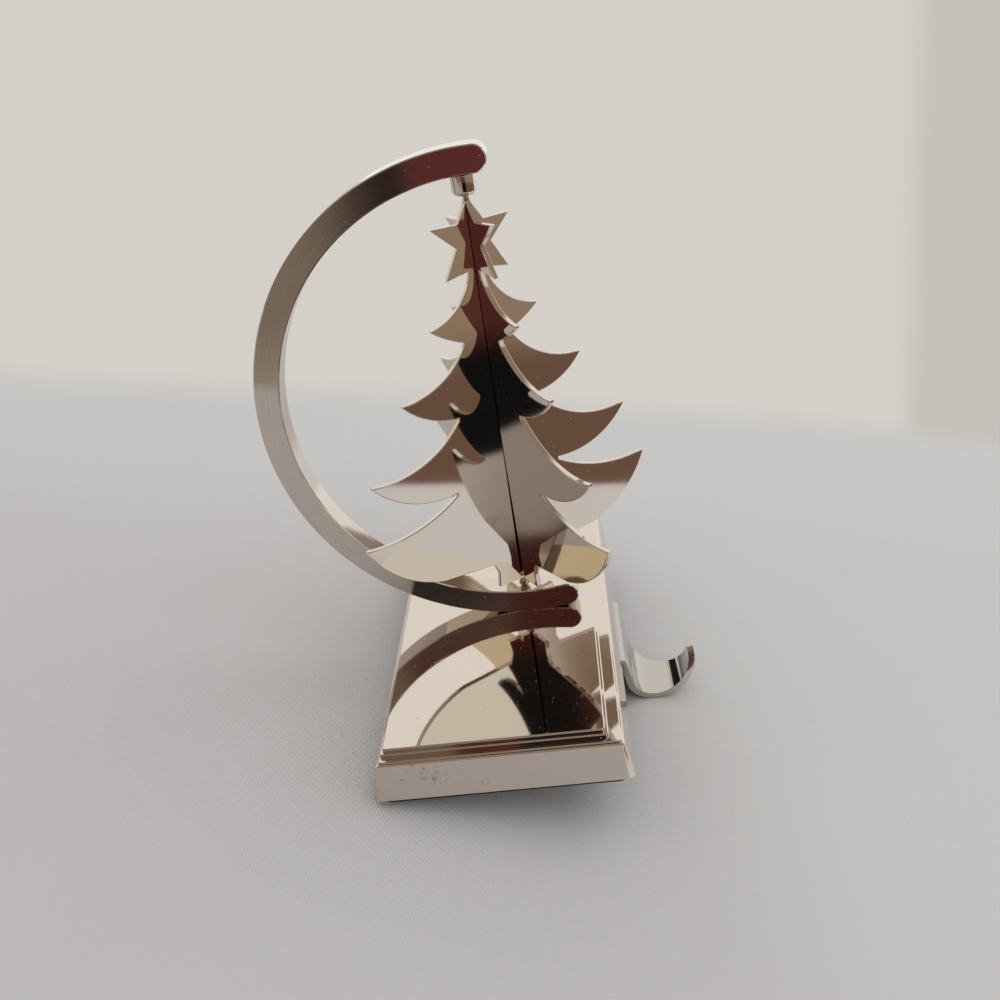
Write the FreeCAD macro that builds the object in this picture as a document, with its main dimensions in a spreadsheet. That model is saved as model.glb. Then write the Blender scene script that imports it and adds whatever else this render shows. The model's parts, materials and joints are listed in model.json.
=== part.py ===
# Mantel stocking holder: a cast base with a wide J hook beneath it, and a C-shaped hoop in which a
# tree of two crossed plates turns on pins.
# Millimetres. The origin is the centre of the pad's underside, which lies on the shelf. +X points to
# the room, where the stocking hangs, +Y runs along the shelf and +Z is up.
import FreeCAD, Part
import math
import os
import Sketcher
from FreeCAD import Placement, Rotation, Vector

doc = FreeCAD.newDocument("stocking_holder")

# Driving sizes
SIZES = [
    # cast base
    ("base_length", 128.1),
    ("base_width", 64.0),
    ("wall_height", 9.3),
    ("wall_lean", 1.86),
    ("foot_corner", 1.9),
    ("rim_corner", 0.7),
    ("shoulder_inset", 0.5),
    ("shoulder_rise", 0.5),
    ("ledge_inset", 2.2),
    ("ledge_rise", 1.0),
    ("field_inset", 2.9),
    ("field_rise", 1.07),
    ("field_offset", -1.3),
    ("field_corner", 0.9),
    ("edge_break", 0.3),
    # pad
    ("pad_thick", 2.0),
    ("pad_inset", 1.6),
    ("pad_corner", 2.5),
    # hoop
    ("hoop_radius", 64.6),
    ("hoop_width", 6.8),
    ("hoop_depth", 7.6),
    ("hoop_edge", 0.3),
    ("hoop_x", 8.8),
    ("hoop_seat", 0.27),
    ("hoop_top_past", 1.5),
    ("hoop_bottom_past", 9.5),
    # screws that hold the hoop
    ("hoop_screw_pitch", 9.0),
    ("hoop_screw_dia", 3.0),
    ("hoop_screw_bite", 4.2),
    ("hoop_screw_head", 5.5),
    ("hoop_screw_head_high", 2.4),
    ("hoop_screw_sink", 4.5),
    ("screw_clear", 0.2),
    # pins that the tree turns on
    ("pivot_x", 7.24),
    ("pin_dia", 0.9),
    ("pin_grip", 3.0),
    ("pin_reach", 4.0),
    ("pin_clear", 0.05),
    ("collar_dia", 6.2),
    ("collar_high", 5.1),
    ("collar_round", 1.2),
    ("collar_gap", 0.4),
    ("bead_dia", 3.1),
    ("bead_high", 2.8),
    ("bead_edge", 0.8),
    ("bead_gap", 0.1),
    # tree plates as drawn, with heights from the tree's foot and reaches from the pins' axis
    ("tree_drawn_high", 107.0),
    ("plate_thick", 1.5),
    ("plate_turn", 30.5),
    ("plate_cross", 86.0),
    ("slot_clear", 0.04),
    ("slot_flare", 0.9),
    ("slot_split", 47.0),
    ("star_notch_r", 3.5),
    ("star_notch_z", 101.1),
    ("star_arm_r", 11.1),
    ("star_arm_z", 101.4),
    ("star_waist_r", 4.8),
    ("star_waist_z", 95.4),
    ("star_leg_r", 9.0),
    ("star_leg_z", 88.1),
    ("neck_r", 2.5),
    ("neck_z", 89.3),
    ("crown_z", 88.3),
    ("tip_edge", 0.45),
    ("tier_one_r", 15.3),
    ("tier_one_z", 77.2),
    ("notch_one_r", 6.8),
    ("notch_one_z", 71.9),
    ("tier_two_r", 26.5),
    ("tier_two_z", 60.6),
    ("notch_two_r", 11.7),
    ("notch_two_z", 52.8),
    ("tier_three_r", 38.8),
    ("tier_three_z", 42.0),
    ("notch_three_r", 15.9),
    ("notch_three_z", 32.4),
    ("tier_four_r", 43.6),
    ("tier_four_z", 25.3),
    ("skirt_r", 24.0),
    ("skirt_z", 8.4),
    ("trunk_top_r", 8.6),
    ("trunk_top_z", 7.3),
    ("trunk_waist_r", 7.5),
    ("trunk_waist_z", 4.2),
    ("trunk_foot_r", 8.0),
    ("notch_drop", 0.7),
    # stocking hook
    ("hook_thick", 1.8),
    ("hook_half_width", 17.5),
    ("hook_tip_half_width", 2.75),
    ("hook_plate_length", 26.35),
    ("hook_taper_run", 5.35),
    ("hook_setback", 0.65),
    ("hook_bend_r", 2.06),
    ("hook_bend_angle", 81.4),
    ("hook_drop", 9.45),
    ("hook_bowl_r", 8.53),
    ("hook_bowl_angle", 184.0),
    ("hook_corner", 4.0),
    ("hook_slot_clear", 0.3),
    ("hook_screw_pitch", 20.0),
    ("hook_screw_inset", 15.35),
    ("hook_screw_dia", 3.0),
    ("hook_screw_head", 5.6),
    ("hook_screw_bite", 6.0),
]

sheet = doc.addObject("Spreadsheet::Sheet", "Sizes")
for row, (alias, value) in enumerate(SIZES, start=1):
    sheet.set("A%d" % row, alias)
    sheet.set("B%d" % row, str(value))
    sheet.setAlias("B%d" % row, alias)

# Places that follow from the sizes
FOLLOWS = [
    ("metal_z", "=pad_thick"),
    ("rim_z", "=pad_thick + wall_height"),
    ("field_z", "=rim_z + shoulder_rise + ledge_rise + field_rise"),
    ("hoop_z", "=field_z + hoop_radius - hoop_seat"),
    ("hoop_inner", "=hoop_radius - hoop_width"),
    ("hoop_mid", "=hoop_radius - hoop_width / 2"),
    ("pivot_offset", "=pivot_x - hoop_x"),
    ("bead_z", "=hoop_z - sqrt(hoop_inner ^ 2 - pivot_offset ^ 2)"),
    ("tree_foot", "=bead_z + bead_high + bead_gap"),
    ("bore_dia", "=pin_dia + 2 * pin_clear"),
    ("hook_edge_x", "=base_width / 2 - hook_setback"),
    ("hook_end_x", "=hook_edge_x - hook_plate_length"),
    ("hook_screw_x", "=hook_edge_x - hook_screw_inset"),
    ("collar_top", "=hoop_z + sqrt(hoop_inner ^ 2 - (abs(pivot_offset) + collar_dia / 2) ^ 2)"),
    ("star_top", "=collar_top - collar_gap - collar_high - tree_foot"),
]
for row, (alias, formula) in enumerate(FOLLOWS, start=len(SIZES) + 1):
    sheet.set("A%d" % row, alias)
    sheet.set("B%d" % row, formula)
    sheet.setAlias("B%d" % row, alias)
doc.recompute()


def size(alias):
    return float(sheet.get(alias))


def bind(thing, path, formula):
    thing.setExpression(path, formula)


def new_body(name):
    body = doc.addObject("PartDesign::Body", name)
    body.Label = name
    return body


def plane_of(body, role):
    return [item for item in body.Origin.OriginFeatures if item.Role == role][0]


def new_sketch(body, name, role="XY_Plane", height=None):
    sketch = body.newObject("Sketcher::SketchObject", name)
    sketch.AttachmentSupport = [(plane_of(body, role), "")]
    sketch.MapMode = "FlatFace"
    if height is not None:
        bind(sketch, "AttachmentOffset.Base.z", height)
    return sketch


def name_last(sketch, name, formula):
    sketch.renameConstraint(len(sketch.Constraints) - 1, name)
    bind(sketch, "Constraints." + name, formula)


def rounded_rectangle(sketch, along_x, along_y, corner, right, top):
    """Draw a rectangle with round corners; each argument is a formula of the sheet's sizes."""
    reach_x, reach_y, round_r, edge_x, edge_y = [
        sheet_value(text) for text in (along_x, along_y, corner, right, top)]
    left = edge_x - reach_x
    bottom = edge_y - reach_y
    up = Vector(0, 0, 1)
    lines = [
        ((left + round_r, bottom), (edge_x - round_r, bottom)),
        ((edge_x, bottom + round_r), (edge_x, edge_y - round_r)),
        ((edge_x - round_r, edge_y), (left + round_r, edge_y)),
        ((left, edge_y - round_r), (left, bottom + round_r)),
    ]
    for first, last in lines:
        sketch.addGeometry(Part.LineSegment(Vector(*first, 0), Vector(*last, 0)), False)
    centres = [
        (edge_x - round_r, bottom + round_r, -90),
        (edge_x - round_r, edge_y - round_r, 0),
        (left + round_r, edge_y - round_r, 90),
        (left + round_r, bottom + round_r, 180),
    ]
    for cx, cy, turn in centres:
        circle = Part.Circle(Vector(cx, cy, 0), up, round_r)
        arc = Part.ArcOfCircle(circle, math.radians(turn), math.radians(turn + 90))
        sketch.addGeometry(arc, False)
    for line, arc in ((0, 4), (1, 5), (2, 6), (3, 7)):
        sketch.addConstraint(Sketcher.Constraint("Tangent", line, 2, arc, 1))
        sketch.addConstraint(Sketcher.Constraint("Tangent", arc, 2, (line + 1) % 4, 1))
    for line in (0, 2):
        sketch.addConstraint(Sketcher.Constraint("Horizontal", line))
    for line in (1, 3):
        sketch.addConstraint(Sketcher.Constraint("Vertical", line))
    for arc in (5, 6, 7):
        sketch.addConstraint(Sketcher.Constraint("Equal", 4, arc))
    sketch.addConstraint(Sketcher.Constraint("Radius", 4, round_r))
    name_last(sketch, "corner", corner)
    sketch.addConstraint(Sketcher.Constraint("DistanceX", 3, 1, 1, 1, reach_x))
    name_last(sketch, "along_x", along_x)
    sketch.addConstraint(Sketcher.Constraint("DistanceY", 0, 1, 2, 1, reach_y))
    name_last(sketch, "along_y", along_y)
    sketch.addConstraint(Sketcher.Constraint("DistanceX", -1, 1, 1, 1, edge_x))
    name_last(sketch, "right", right)
    sketch.addConstraint(Sketcher.Constraint("DistanceY", -1, 1, 2, 1, edge_y))
    name_last(sketch, "top", top)


def sheet_value(formula):
    """Work out a formula of the sheet's sizes in a spare cell."""
    sheet.set("D1", "=" + formula.replace("Sizes.", ""))
    sheet.recompute()
    return float(sheet.get("D1"))


def circles(sketch, diameter, places):
    """Draw circles at places given as pairs of formulas."""
    for index, (across, along) in enumerate(places):
        centre = Vector(sheet_value(across), sheet_value(along), 0)
        circle = Part.Circle(centre, Vector(0, 0, 1), sheet_value(diameter) / 2)
        sketch.addGeometry(circle, False)
        sketch.addConstraint(Sketcher.Constraint("Diameter", index, sheet_value(diameter)))
        name_last(sketch, "dia_%d" % index, diameter)
        for kind, value, formula in (("DistanceX", centre.x, across), ("DistanceY", centre.y, along)):
            if abs(value) < 1e-9 and formula == "0":
                axis = -2 if kind == "DistanceX" else -1
                sketch.addConstraint(Sketcher.Constraint("PointOnObject", index, 3, axis))
            elif value < 0:
                sketch.addConstraint(Sketcher.Constraint(kind, index, 3, -1, 1, -value))
                name_last(sketch, "%s_%d" % (kind.lower(), index), "-(" + formula + ")")
            else:
                sketch.addConstraint(Sketcher.Constraint(kind, -1, 1, index, 3, value))
                name_last(sketch, "%s_%d" % (kind.lower(), index), formula)


def closed_outline(sketch, pieces):
    """Add lines and three-point arcs that follow each other, and join their ends."""
    for piece in pieces:
        points = [Vector(x, y, 0) for x, y in piece]
        curve = Part.LineSegment(*points) if len(points) == 2 else Part.Arc(*points)
        sketch.addGeometry(curve, False)
    # An arc in a sketch always runs anticlockwise, so its ends are matched by position.
    count = len(pieces)
    for index in range(count):
        following = (index + 1) % count
        joint = Vector(*pieces[index][-1], 0)
        here = 1 if sketch.getPoint(index, 1).distanceToPoint(joint) < 1e-6 else 2
        there = 1 if sketch.getPoint(following, 1).distanceToPoint(joint) < 1e-6 else 2
        sketch.addConstraint(Sketcher.Constraint("Coincident", index, here, following, there))


def cut(body, name, sketch, depth, upward=False, both_ways=False):
    """Pocket a sketch into a body and make sure that it took material away."""
    doc.recompute()
    before = body.Shape.Volume
    pocket = body.newObject("PartDesign::Pocket", name)
    pocket.Profile = sketch
    bind(pocket, "Length", depth)
    pocket.Reversed = upward
    if both_ways:
        pocket.SideType = "Symmetric"
    doc.recompute()
    if body.Shape.Volume > before - 1e-3:
        raise RuntimeError(name + " cut nothing")
    return pocket


def pad(body, name, sketch, length, both_ways=False):
    feature = body.newObject("PartDesign::Pad", name)
    feature.Profile = sketch
    bind(feature, "Length", length)
    if both_ways:
        feature.SideType = "Symmetric"
    return feature


# Cast base: a block with leaning sides and a broken rim, then a shoulder, a ledge and the raised field
base = new_body("base_casting")


def block_outline(name, height, inset, corner):
    sketch = new_sketch(base, name, height=height)
    rounded_rectangle(sketch, "Sizes.base_width - 2 * (%s)" % inset, "Sizes.base_length - 2 * (%s)" % inset,
                      corner, "Sizes.base_width / 2 - (%s)" % inset, "Sizes.base_length / 2 - (%s)" % inset)
    return sketch


block = base.newObject("PartDesign::AdditiveLoft", "base_block")
block.Profile = block_outline("base_foot", "Sizes.metal_z", "0 * Sizes.wall_lean", "Sizes.foot_corner")
block.Sections = [
    block_outline("base_wall_top", "Sizes.rim_z - Sizes.edge_break",
                  "Sizes.wall_lean * (1 - Sizes.edge_break / Sizes.wall_height)", "Sizes.rim_corner"),
    block_outline("base_rim", "Sizes.rim_z", "Sizes.wall_lean + Sizes.edge_break", "Sizes.rim_corner"),
]
block.Ruled = True
doc.recompute()


def break_top(name):
    """Break the upper edges of the base's last tier, before the next one stands on it."""
    doc.recompute()
    shape = base.Tip.Shape
    top = shape.BoundBox.ZMax
    loop = ["Edge%d" % (index + 1) for index, edge in enumerate(shape.Edges)
            if edge.BoundBox.ZMin > top - 1e-4]
    breaking = base.newObject("PartDesign::Chamfer", name)
    breaking.Base = (base.Group[-2], loop)
    bind(breaking, "Size", "Sizes.edge_break")
    doc.recompute()


def base_tier(name, inset, shift, bottom, rise):
    sketch = new_sketch(base, name + "_outline", height=bottom)
    half = " / 2 - Sizes.wall_lean - Sizes." + inset
    rounded_rectangle(sketch, "Sizes.base_width - 2 * Sizes.wall_lean - 2 * Sizes." + inset,
                      "Sizes.base_length - 2 * Sizes.wall_lean - 2 * Sizes." + inset,
                      "Sizes.field_corner", "Sizes.base_width" + half + shift, "Sizes.base_length" + half)
    pad(base, name, sketch, rise)
    break_top(name + "_edge")


base_tier("base_shoulder", "shoulder_inset", "", "Sizes.rim_z", "Sizes.shoulder_rise")
base_tier("base_ledge", "ledge_inset", " + Sizes.field_offset", "Sizes.rim_z + Sizes.shoulder_rise",
          "Sizes.ledge_rise")
base_tier("base_field", "field_inset", " + Sizes.field_offset",
          "Sizes.rim_z + Sizes.shoulder_rise + Sizes.ledge_rise", "Sizes.field_rise")

# Screw holes for the hoop, sunk from beneath, and blind holes for the hook's screws
HOOP_SCREWS = [("Sizes.hoop_x - Sizes.hoop_screw_pitch / 2", "0"),
               ("Sizes.hoop_x + Sizes.hoop_screw_pitch / 2", "0")]
HOOK_SCREWS = [("Sizes.hook_screw_x", "-Sizes.hook_screw_pitch / 2"),
               ("Sizes.hook_screw_x", "Sizes.hook_screw_pitch / 2")]
sink = new_sketch(base, "sink_circles", height="Sizes.metal_z")
circles(sink, "Sizes.hoop_screw_head + 2 * Sizes.screw_clear", HOOP_SCREWS)
cut(base, "hoop_screw_sinks", sink, "Sizes.hoop_screw_sink", upward=True)
through = new_sketch(base, "through_circles", height="Sizes.metal_z")
circles(through, "Sizes.hoop_screw_dia + 2 * Sizes.screw_clear", HOOP_SCREWS)
cut(base, "hoop_screw_holes", through, "Sizes.field_z", upward=True)
threads = new_sketch(base, "hook_circles", height="Sizes.metal_z")
circles(threads, "Sizes.hook_screw_dia", HOOK_SCREWS)
cut(base, "hook_screw_holes", threads, "Sizes.hook_screw_bite + 0.5 * Sizes.hook_screw_dia", upward=True)

# Pad: flush with z = 0, open towards the hook so that the strip lies in it
cushion = new_body("base_pad")
cushion_outline = new_sketch(cushion, "pad_outline")
rounded_rectangle(cushion_outline, "Sizes.base_width - 2 * Sizes.pad_inset",
                  "Sizes.base_length - 2 * Sizes.pad_inset", "Sizes.pad_corner",
                  "Sizes.base_width / 2 - Sizes.pad_inset", "Sizes.base_length / 2 - Sizes.pad_inset")
pad(cushion, "pad_sheet", cushion_outline, "Sizes.pad_thick")
gap = new_sketch(cushion, "pad_gap")
rounded_rectangle(gap, "Sizes.base_width", "2 * Sizes.hook_half_width + 2 * Sizes.hook_slot_clear",
                  "Sizes.hook_corner", "Sizes.hook_end_x - Sizes.hook_slot_clear + Sizes.base_width",
                  "Sizes.hook_half_width + Sizes.hook_slot_clear")
cut(cushion, "pad_opening", gap, "2 * Sizes.pad_thick", upward=True)


# Hoop: a flat bar with broken edges, swept round most of a circle, with half-round ends
def hoop_section(half):
    """Outline of the bar's section, or of its outer half, about the middle of its width."""
    width = size("hoop_width") / 2
    depth = size("hoop_depth") / 2
    edge = size("hoop_edge")
    corners = [(width - edge, -depth), (width, edge - depth), (width, depth - edge), (width - edge, depth)]
    if half:
        corners += [(0.0, depth), (0.0, -depth)]
    else:
        corners += [(-x, y) for x, y in reversed(corners)]
    return [[corner, corners[(index + 1) % len(corners)]] for index, corner in enumerate(corners)]


hoop = new_body("hoop")
bind(hoop, "Placement.Base.x", "Sizes.hoop_x")
bind(hoop, "Placement.Base.z", "Sizes.hoop_z")


def hoop_plane(name, direction, at_middle):
    """A sketch across the bar: its x axis points outward, at an angle from +X towards +Z."""
    sketch = hoop.newObject("Sketcher::SketchObject", name)
    sketch.AttachmentSupport = [(plane_of(hoop, "XY_Plane"), "")]
    sketch.MapMode = "FlatFace"
    turn = math.radians(direction)
    reach = size("hoop_mid") if at_middle else 0.0
    centre = Vector(reach * math.cos(turn), 0, reach * math.sin(turn))
    sketch.AttachmentOffset = Placement(centre, Rotation(Vector(0, 1, 0), -direction))
    return sketch


bottom_angle = 270 + size("hoop_bottom_past")
top_angle = 90 - size("hoop_top_past")
bar = hoop_plane("hoop_bar", bottom_angle, False)
closed_outline(bar, [[(x + size("hoop_mid"), y) for x, y in piece] for piece in hoop_section(False)])
sweep = hoop.newObject("PartDesign::Revolution", "hoop_sweep")
sweep.Profile = bar
sweep.ReferenceAxis = (bar, ["V_Axis"])
bind(sweep, "Angle", "180 + Sizes.hoop_bottom_past + Sizes.hoop_top_past")
doc.recompute()
HOOP_ENDS = [("hoop_bottom_end", bottom_angle, True), ("hoop_top_end", top_angle, False)]
for name, direction, backward in HOOP_ENDS:
    half_section = hoop_plane(name + "_section", direction, True)
    closed_outline(half_section, hoop_section(True))
    end = hoop.newObject("PartDesign::Revolution", name)
    end.Profile = half_section
    end.ReferenceAxis = (half_section, ["V_Axis"])
    end.Angle = 180
    end.Reversed = backward
    doc.recompute()

# The hoop's foot is flat where it stands on the field, and has the tapped holes and the lower pin's bore.
foot_cut = new_sketch(hoop, "foot_cut", height="Sizes.hoop_seat - Sizes.hoop_radius")
rounded_rectangle(foot_cut, "4 * Sizes.hoop_width", "2 * Sizes.hoop_depth", "Sizes.hoop_edge",
                  "2 * Sizes.hoop_width", "Sizes.hoop_depth")
cut(hoop, "hoop_foot", foot_cut, "2 * Sizes.hoop_seat")
taps = new_sketch(hoop, "foot_taps", height="Sizes.hoop_seat - Sizes.hoop_radius")
circles(taps, "Sizes.hoop_screw_dia", [("-Sizes.hoop_screw_pitch / 2", "0"),
                                       ("Sizes.hoop_screw_pitch / 2", "0")])
cut(hoop, "hoop_taps", taps, "Sizes.hoop_screw_bite + 0.2 * Sizes.hoop_screw_dia", upward=True)
low_bore = new_sketch(hoop, "low_bore", height="Sizes.bead_z - Sizes.hoop_z - Sizes.pin_grip")
circles(low_bore, "Sizes.pin_dia", [("Sizes.pivot_offset", "0")])
cut(hoop, "hoop_low_bore", low_bore, "2 * Sizes.pin_grip", upward=True)
high_bore = new_sketch(hoop, "high_bore", height="Sizes.collar_top - Sizes.hoop_z + Sizes.pin_grip")
circles(high_bore, "Sizes.pin_dia", [("Sizes.pivot_offset", "0")])
cut(hoop, "hoop_high_bore", high_bore, "2 * Sizes.pin_grip")


def cylinder(name, diameter, length, x, y, z):
    rod = doc.addObject("Part::Cylinder", name)
    bind(rod, "Radius", "(" + diameter + ") / 2")
    bind(rod, "Height", length)
    for axis, formula in (("x", x), ("y", y), ("z", z)):
        bind(rod, "Placement.Base." + axis, formula)
    return rod


def fuse(name, pieces):
    group = doc.addObject("Part::MultiFuse", name)
    group.Shapes = pieces
    group.Label = name
    return group


# Two cheese-head screws hold the hoop from beneath; their heads sit at the top of the sinks.
screws = []
for index, (x, y) in enumerate(HOOP_SCREWS):
    seat = "Sizes.metal_z + Sizes.hoop_screw_sink"
    head = cylinder("hoop_screw_head_%d" % index, "Sizes.hoop_screw_head", "Sizes.hoop_screw_head_high",
                    x, y, seat + " - Sizes.hoop_screw_head_high")
    shank = cylinder("hoop_screw_shank_%d" % index, "Sizes.hoop_screw_dia",
                     "Sizes.field_z - Sizes.metal_z - Sizes.hoop_screw_sink + Sizes.hoop_screw_bite",
                     x, y, seat)
    screws += [head, shank]
hoop_screws = fuse("hoop_screws", screws)

# Collar under the hoop's upper end: turned, with a rounded lower edge, bored for the pin
collar = new_body("top_collar")
bind(collar, "Placement.Base.x", "Sizes.pivot_x")
bind(collar, "Placement.Base.z", "Sizes.collar_top - Sizes.collar_high")
collar_r = size("collar_dia") / 2
collar_edge = size("collar_round")
bore_r = size("pin_dia") / 2
collar_high = size("collar_high")
collar_profile = new_sketch(collar, "collar_profile", "XZ_Plane")
closed_outline(collar_profile, [
    [(bore_r, 0.0), (collar_r - collar_edge, 0.0)],
    [(collar_r - collar_edge, 0.0), (collar_r - 0.3 * collar_edge, 0.3 * collar_edge)],
    [(collar_r - 0.3 * collar_edge, 0.3 * collar_edge), (collar_r, collar_edge)],
    [(collar_r, collar_edge), (collar_r, collar_high)],
    [(collar_r, collar_high), (bore_r, collar_high)],
    [(bore_r, collar_high), (bore_r, 0.0)],
])
turning = collar.newObject("PartDesign::Revolution", "collar_turning")
turning.Profile = collar_profile
turning.ReferenceAxis = (collar_profile, ["V_Axis"])
turning.Angle = 360

# Bead between the hoop and the trunk: turned, with broad broken edges, bored for the pin
bead = new_body("bottom_bead")
bind(bead, "Placement.Base.x", "Sizes.pivot_x")
bind(bead, "Placement.Base.z", "Sizes.bead_z")
bead_r = size("bead_dia") / 2
bead_high = size("bead_high")
bead_edge = size("bead_edge")
bead_profile = new_sketch(bead, "bead_profile", "XZ_Plane")
closed_outline(bead_profile, [
    [(bore_r, 0.0), (bead_r - bead_edge, 0.0)],
    [(bead_r - bead_edge, 0.0), (bead_r, bead_edge)],
    [(bead_r, bead_edge), (bead_r, bead_high - bead_edge)],
    [(bead_r, bead_high - bead_edge), (bead_r - bead_edge, bead_high)],
    [(bead_r - bead_edge, bead_high), (bore_r, bead_high)],
    [(bore_r, bead_high), (bore_r, 0.0)],
])
rolling = bead.newObject("PartDesign::Revolution", "bead_turning")
rolling.Profile = bead_profile
rolling.ReferenceAxis = (bead_profile, ["V_Axis"])
rolling.Angle = 360

# Pins: one from the hoop's top down through the collar into the star, one from its foot up into the trunk
top_pin = cylinder("top_pin", "Sizes.pin_dia",
                   "Sizes.pin_grip + Sizes.collar_high + Sizes.collar_gap + Sizes.pin_reach",
                   "Sizes.pivot_x", "0",
                   "Sizes.collar_top - Sizes.collar_high - Sizes.collar_gap - Sizes.pin_reach")
top_pin.Label = "top_pin"
bottom_pin = cylinder("bottom_pin", "Sizes.pin_dia",
                      "Sizes.pin_grip + Sizes.bead_high + Sizes.bead_gap + Sizes.pin_reach",
                      "Sizes.pivot_x", "0", "Sizes.bead_z - Sizes.pin_grip")
bottom_pin.Label = "bottom_pin"


# Tree: two plates of one outline, halved into each other, with star, four tiers of branches and trunk
def bowed(first, last, bow):
    """An arc from one point to the next; bow is its height as a share of the chord, to the right of it."""
    dx = last[0] - first[0]
    dy = last[1] - first[1]
    middle = ((first[0] + last[0]) / 2 + bow * dy, (first[1] + last[1]) / 2 - bow * dx)
    return [first, middle, last]


def tree_outline():
    """The plate's outline, drawn at one height and fitted between the bead and the collar."""
    fit = size("star_top") / size("tree_drawn_high")
    return [[(x * fit, y * fit) for x, y in piece] for piece in drawn_outline()]


def drawn_outline():
    top = size("tree_drawn_high")
    edge = size("tip_edge")
    drop = size("notch_drop")
    star = [(0.0, top), (size("star_notch_r"), size("star_notch_z")),
            (size("star_arm_r"), size("star_arm_z")),
            (size("star_waist_r"), size("star_waist_z")),
            (size("star_leg_r"), size("star_leg_z")),
            (size("neck_r"), size("neck_z")), (size("neck_r"), size("crown_z"))]
    side = [[star[index], star[index + 1]] for index in range(len(star) - 1)]
    place = star[-1]
    tiers = [("one", 0.145, 0.04), ("two", 0.130, 0.105), ("three", 0.135, 0.135)]
    for name, hollow, belly in tiers:
        tip = (size("tier_%s_r" % name), size("tier_%s_z" % name))
        under = (tip[0], tip[1] - edge)
        notch = (size("notch_%s_r" % name), size("notch_%s_z" % name))
        side.append(bowed(place, tip, hollow))
        side.append([tip, under])
        side.append(bowed(under, notch, -belly))
        place = (notch[0] + 0.1 * drop, notch[1] - drop)
        side.append([notch, place])
    tip = (size("tier_four_r"), size("tier_four_z"))
    under = (tip[0] + edge / 2, tip[1] - edge)
    skirt = (size("skirt_r"), size("skirt_z"))
    trunk = (size("trunk_top_r"), size("trunk_top_z"))
    waist = (size("trunk_waist_r"), size("trunk_waist_z"))
    heel = (size("trunk_foot_r"), 0.0)
    side.append(bowed(place, tip, 0.09))
    side.append([tip, under])
    side.append(bowed(under, skirt, -0.115))
    side.append([skirt, trunk])
    side.append([trunk, waist])
    side.append([waist, heel])
    mirrored = [[(-x, y) for x, y in reversed(piece)] for piece in reversed(side)]
    return side + [[heel, (-heel[0], 0.0)]] + mirrored


def tree_slot(slot_above):
    """The halving slot's outline: close above, and flared towards its mouth below."""
    # The plates cross at less than a right angle, so a slot is wider than the plate that it takes.
    crossing = math.radians(size("plate_cross"))
    thick = size("plate_thick")
    close = (thick / math.sin(crossing) + thick / math.tan(crossing)) / 2 + size("slot_clear")
    past = thick
    split = size("slot_split")
    if slot_above:
        mouth = size("star_top") + past
        wide = close
    else:
        mouth = -past
        wide = close + size("slot_flare")
    corners = [(-close, split), (-wide, mouth), (wide, mouth), (close, split)]
    return [[corner, corners[(index + 1) % 4]] for index, corner in enumerate(corners)]


def tree_plate(name, turn, slot_above):
    body = new_body(name)
    body.Placement = Placement(Vector(0, 0, 0), Rotation(Vector(0, 0, 1), size("plate_turn") + turn))
    bind(body, "Placement.Base.x", "Sizes.pivot_x")
    bind(body, "Placement.Base.z", "Sizes.tree_foot")
    outline = new_sketch(body, name + "_outline", "XZ_Plane")
    closed_outline(outline, tree_outline())
    pad(body, name + "_sheet", outline, "Sizes.plate_thick", both_ways=True)
    slot = new_sketch(body, name + "_slot", "XZ_Plane")
    closed_outline(slot, tree_slot(slot_above))
    cut(body, name + "_slotting", slot, "2 * Sizes.plate_thick", both_ways=True)
    end = "Sizes.star_top - Sizes.pin_reach - Sizes.pin_clear" if not slot_above else "-Sizes.pin_reach"
    bore = new_sketch(body, name + "_bore_circle", height=end)
    circles(bore, "Sizes.bore_dia", [("0", "0")])
    cut(body, name + "_bore", bore, "2 * Sizes.pin_reach + Sizes.pin_clear", upward=True)
    return body


plate_a = tree_plate("tree_plate_a", 0.0, True)
plate_b = tree_plate("tree_plate_b", -size("plate_cross"), False)


# Stocking hook: a strip that lies under the casting, bends down over the shelf's edge, drops and curls
# back up, narrowing all the way to a round tip
def hook_stretches():
    """Stretches of the strip's upper face: points along each, with the strip's half width there."""
    half = size("hook_half_width")
    turned = math.radians(size("hook_bend_angle"))
    curled = math.radians(size("hook_bowl_angle"))
    bend_r = size("hook_bend_r")
    bowl_r = size("hook_bowl_r")
    edge_x = size("hook_edge_x")
    flat = size("hook_taper_run")
    total = flat + bend_r * turned + size("hook_drop") + bowl_r * curled
    narrowing = (half - size("hook_tip_half_width")) / total

    def station(x, z, heading, run):
        return (Vector(x, 0, z), Vector(math.sin(heading), 0, math.cos(heading)), half - narrowing * run)

    top = size("metal_z")
    stretches = [[station(size("hook_end_x"), top, 0, 0), station(edge_x - flat, top, 0, 0)],
                 [station(edge_x - flat, top, 0, 0), station(edge_x, top, 0, flat)]]
    bend = []
    steps = 8
    for step in range(steps + 1):
        turn = turned * step / steps
        bend.append(station(edge_x + bend_r * math.sin(turn), top - bend_r * (1 - math.cos(turn)), turn,
                            flat + bend_r * turn))
    stretches.append(bend)
    last = bend[-1][0]
    run = flat + bend_r * turned
    fall = (last.x + size("hook_drop") * math.cos(turned), last.z - size("hook_drop") * math.sin(turned))
    stretches.append([bend[-1], station(fall[0], fall[1], turned, run + size("hook_drop"))])
    run += size("hook_drop")
    centre = (fall[0] + bowl_r * math.sin(turned), fall[1] + bowl_r * math.cos(turned))
    quarters = 4
    steps = 6
    for quarter in range(quarters):
        bowl = []
        for step in range(steps + 1):
            bowed_by = math.radians(size("hook_bowl_angle")) * (quarter + step / steps) / quarters
            turn = turned - bowed_by
            bowl.append(station(centre[0] - bowl_r * math.sin(turn), centre[1] - bowl_r * math.cos(turn),
                                turn, run + bowl_r * bowed_by))
        stretches.append(bowl)
    return stretches


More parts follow.
